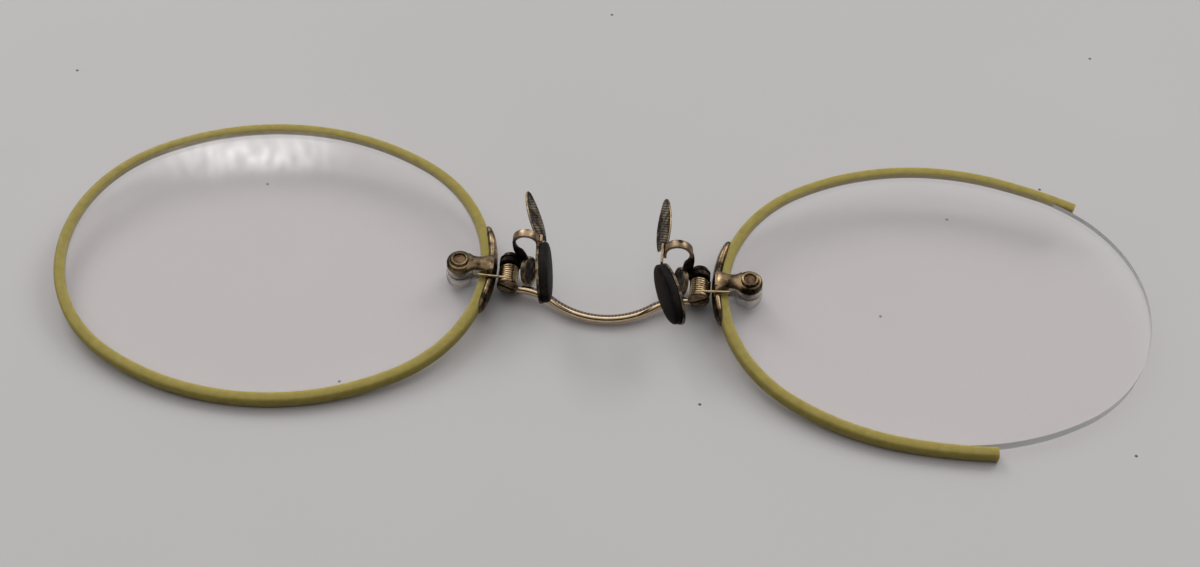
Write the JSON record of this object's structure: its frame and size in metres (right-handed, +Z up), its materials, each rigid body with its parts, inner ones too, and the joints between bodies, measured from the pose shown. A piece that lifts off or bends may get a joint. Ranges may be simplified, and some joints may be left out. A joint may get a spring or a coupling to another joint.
{
  "type": "pince nez",
  "caption": "Pince nez with oval drilled lenses in translucent grooved rims, a rigid arched bridge and sprung nose guards on finger levers, lying wearer side up.",
  "frame": {"origin": "centre of the bounding box's underside, on the surface that the glasses lie on", "axes": "+X across the face towards the half with the broken rim, +Y from the bridge's crown towards the cheeks, +Z up, towards the wearer's side"},
  "size_m": [0.1026, 0.0334, 0.0074],
  "materials": {
    "lens_glass": "polished",
    "rim_celluloid": "worn gloss",
    "mount_gold": "worn",
    "screw_brass": "worn",
    "washer_steel": "satin",
    "spring_wire": "satin",
    "bridge_gold": "polished",
    "pad_black": "satin"
  },
  "bodies": {
    "frame": {"bridge": "bridge_gold", "left_edge_shoe": "mount_gold", "left_guard_spring": "spring_wire", "left_lens": "lens_glass", "left_lens_screw": "screw_brass", "left_lens_strap": "mount_gold", "left_lens_washers": "washer_steel", "left_pivot_bracket": "mount_gold", "left_pivot_screw": "screw_brass", "left_rim": "rim_celluloid", "right_edge_shoe": "mount_gold", "right_guard_spring": "spring_wire", "right_lens": "lens_glass", "right_lens_screw": "screw_brass", "right_lens_strap": "mount_gold", "right_lens_washers": "washer_steel", "right_pivot_bracket": "mount_gold", "right_pivot_screw": "screw_brass", "right_rim": "rim_celluloid"},
    "left_lever": {"left_lever": "mount_gold", "left_finger_piece": "mount_gold", "left_guard_plate": "mount_gold", "left_nose_pad": "pad_black"},
    "right_lever": {"right_lever": "mount_gold", "right_finger_piece": "mount_gold", "right_guard_plate": "mount_gold", "right_nose_pad": "pad_black"}
  },
  "joints": [
    {"name": "left_lever_hinge", "type": "hinge", "parent": "frame", "child": "left_lever", "pos_m": [-0.00854, 0.00139, 0.00238], "axis": [0, -0.9962, -0.0872], "range_deg": [0, 25], "stiffness_Nm_per_rad": 0.0003, "springref_deg": -14.9},
    {"name": "right_lever_hinge", "type": "hinge", "parent": "frame", "child": "right_lever", "pos_m": [0.00932, 0.00139, 0.00238], "axis": [0, 0.9962, 0.0872], "range_deg": [0, 25], "stiffness_Nm_per_rad": 0.0003, "springref_deg": -14.9}
  ]
}
